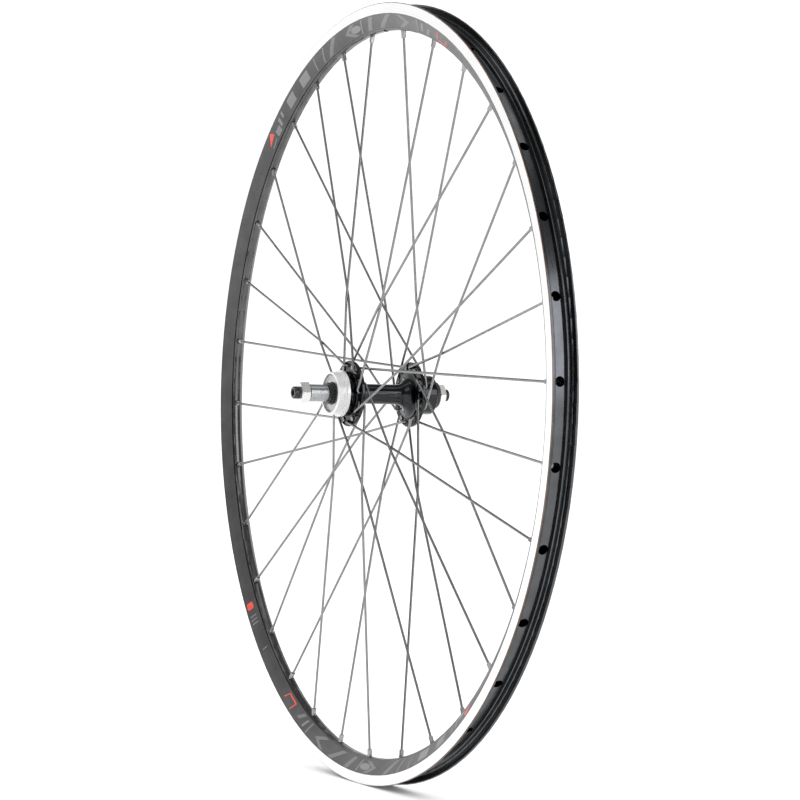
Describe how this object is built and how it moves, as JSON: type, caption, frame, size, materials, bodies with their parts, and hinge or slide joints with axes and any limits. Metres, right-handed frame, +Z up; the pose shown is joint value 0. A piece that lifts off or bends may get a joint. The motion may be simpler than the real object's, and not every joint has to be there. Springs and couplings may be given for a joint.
{
  "type": "bicycle rear wheel",
  "caption": "Bare spoked bicycle rear wheel: double-wall rim with brake tracks, crossed spokes and a quick-release freewheel hub.",
  "frame": {"origin": "centre of the wheel: middle of the rim's width and of the axle's length", "axes": "+Y along the axle towards the left (non-drive) side, +Z up, +X completes the right-handed frame"},
  "size_m": [0.634, 0.14, 0.634],
  "materials": {
    "rim_anodised": "satin black-grey anodised, brake tracks machined bare",
    "anodised_black": "glossy black anodised, freewheel boss machined bare",
    "spoke_steel": "drawn stainless wire",
    "nipple_plate": "nickel plated",
    "black_steel": "black oxide, oiled",
    "grey_steel": "turned, satin",
    "dark_washer": "black oxide",
    "plated_steel": "zinc plated",
    "race_steel": "ground race",
    "cap_steel": "pressed, satin",
    "cap_black": "satin black",
    "ball_chrome": "polished",
    "seal_rubber": "moulded, satin"
  },
  "bodies": {
    "axle": {"axle": "black_steel", "drive_cone": "black_steel", "left_cone": "black_steel", "drive_spacer": "grey_steel", "drive_lock_washer": "dark_washer", "left_lock_washer": "dark_washer", "drive_locknut": "plated_steel", "left_locknut": "plated_steel", "left_seal": "seal_rubber"},
    "wheel": {"hub_shell": "anodised_black", "drive_cup": "race_steel", "left_cup": "race_steel", "drive_dust_cap": "cap_steel", "left_dust_cap": "cap_black", "rim": "rim_anodised", "drive_nipples": "nipple_plate", "left_nipples": "nipple_plate", "drive_spoke_01": "spoke_steel", "drive_spoke_02": "spoke_steel", "drive_spoke_03": "spoke_steel", "drive_spoke_04": "spoke_steel", "drive_spoke_05": "spoke_steel", "drive_spoke_06": "spoke_steel", "drive_spoke_07": "spoke_steel", "drive_spoke_08": "spoke_steel", "drive_spoke_09": "spoke_steel", "drive_spoke_10": "spoke_steel", "drive_spoke_11": "spoke_steel", "drive_spoke_12": "spoke_steel", "drive_spoke_13": "spoke_steel", "drive_spoke_14": "spoke_steel", "drive_spoke_15": "spoke_steel", "drive_spoke_16": "spoke_steel", "left_spoke_01": "spoke_steel", "left_spoke_02": "spoke_steel", "left_spoke_03": "spoke_steel", "left_spoke_04": "spoke_steel", "left_spoke_05": "spoke_steel", "left_spoke_06": "spoke_steel", "left_spoke_07": "spoke_steel", "left_spoke_08": "spoke_steel", "left_spoke_09": "spoke_steel", "left_spoke_10": "spoke_steel", "left_spoke_11": "spoke_steel", "left_spoke_12": "spoke_steel", "left_spoke_13": "spoke_steel", "left_spoke_14": "spoke_steel", "left_spoke_15": "spoke_steel", "left_spoke_16": "spoke_steel"},
    "drive_balls": {"drive_balls": "ball_chrome"},
    "left_balls": {"left_balls": "ball_chrome"}
  },
  "joints": [
    {"name": "wheel_spin", "type": "hinge", "parent": "axle", "child": "wheel", "pos_m": [0, 0, 0], "axis": [0, 1, 0], "continuous": true},
    {"name": "drive_balls_orbit", "type": "hinge", "parent": "axle", "child": "drive_balls", "pos_m": [0, -0.031, 0], "axis": [0, 1, 0], "continuous": true},
    {"name": "left_balls_orbit", "type": "hinge", "parent": "axle", "child": "left_balls", "pos_m": [0, 0.0486, 0], "axis": [0, 1, 0], "continuous": true}
  ],
  "couplings": [
    {"joint": "drive_balls_orbit", "follows": "wheel_spin", "ratio": 0.6188},
    {"joint": "left_balls_orbit", "follows": "wheel_spin", "ratio": 0.6188}
  ]
}
